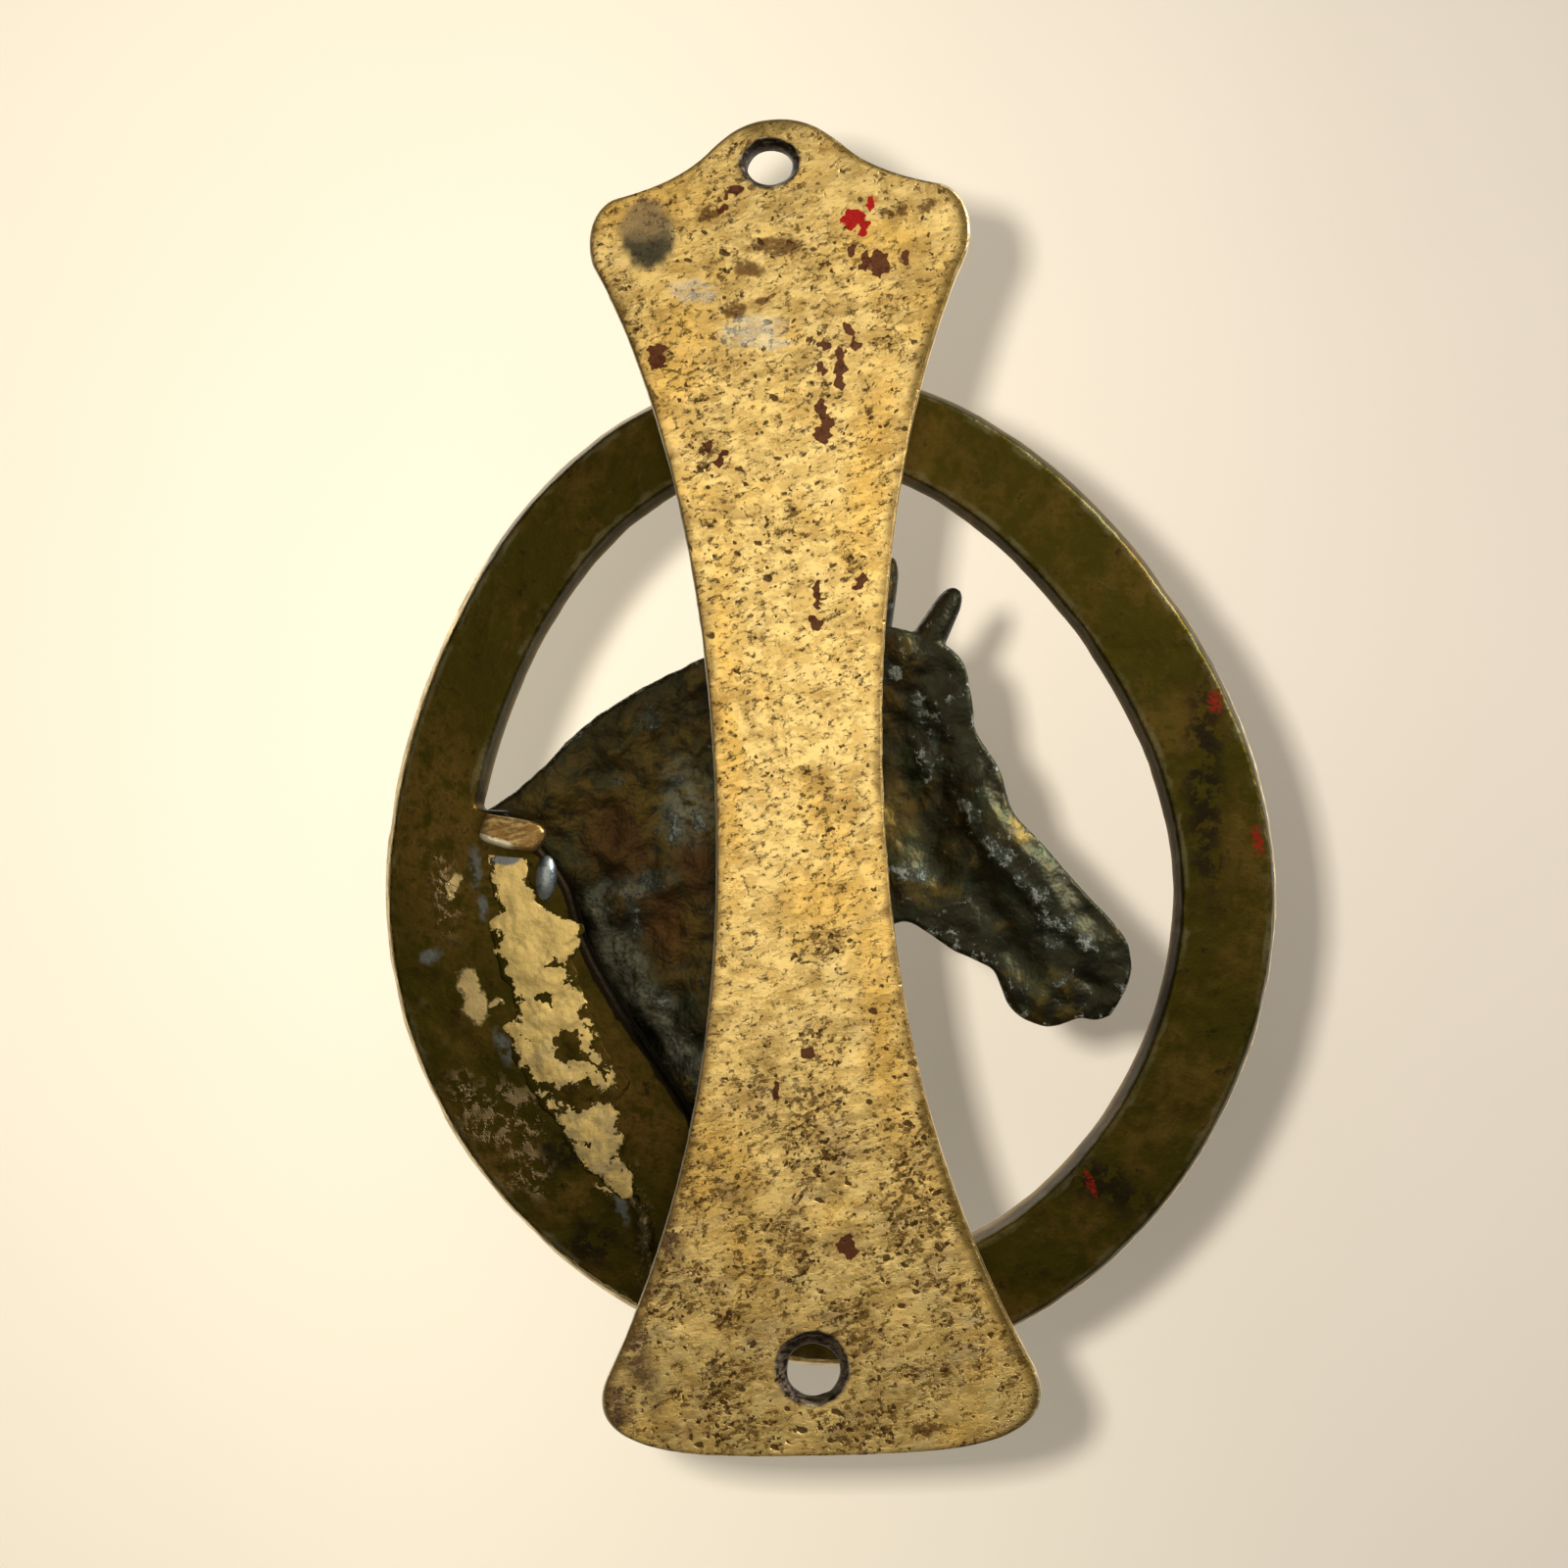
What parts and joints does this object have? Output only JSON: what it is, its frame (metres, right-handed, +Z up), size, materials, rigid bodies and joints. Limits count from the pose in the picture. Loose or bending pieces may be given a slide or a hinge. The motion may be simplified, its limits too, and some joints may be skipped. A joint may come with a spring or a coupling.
{
  "type": "door knocker",
  "caption": "Cast brass door knocker: a waisted back plate carries an egg-shaped ring with a horse's head in relief, hung on a hinge pin and striking a stud.",
  "frame": {"origin": "on the plate's flat rear face, on its centre line, halfway between the two screw holes", "axes": "+Z up the door, -Y out towards the visitor, +Y into the door; the horse faces -X"},
  "size_m": [0.1209, 0.0216, 0.1751],
  "materials": {
    "plate_brass": "aged pale gold brass, pitted and stained, satin",
    "pin_brass": "worn brass, satin",
    "ring_patina": "dark olive-brown patina over brass, edges polished bright",
    "head_patina": "near-black green patina, rough cast, half gloss",
    "filler_brass": "pale brazing metal, matt",
    "solder": "dull grey solder"
  },
  "bodies": {
    "plate": {"back_plate": "plate_brass", "hinge_pin": "pin_brass", "strike_stud": "pin_brass"},
    "knocker": {"knocker_ring": "ring_patina", "horse_head": "head_patina", "braze_run": "filler_brass", "braze_tab": "filler_brass", "solder_bead": "solder"}
  },
  "joints": [
    {"name": "knocker_swing", "type": "hinge", "parent": "plate", "child": "knocker", "pos_m": [0, -0.0115, 0.0605], "axis": [-1, 0, 0], "range_deg": [0, 120]}
  ]
}
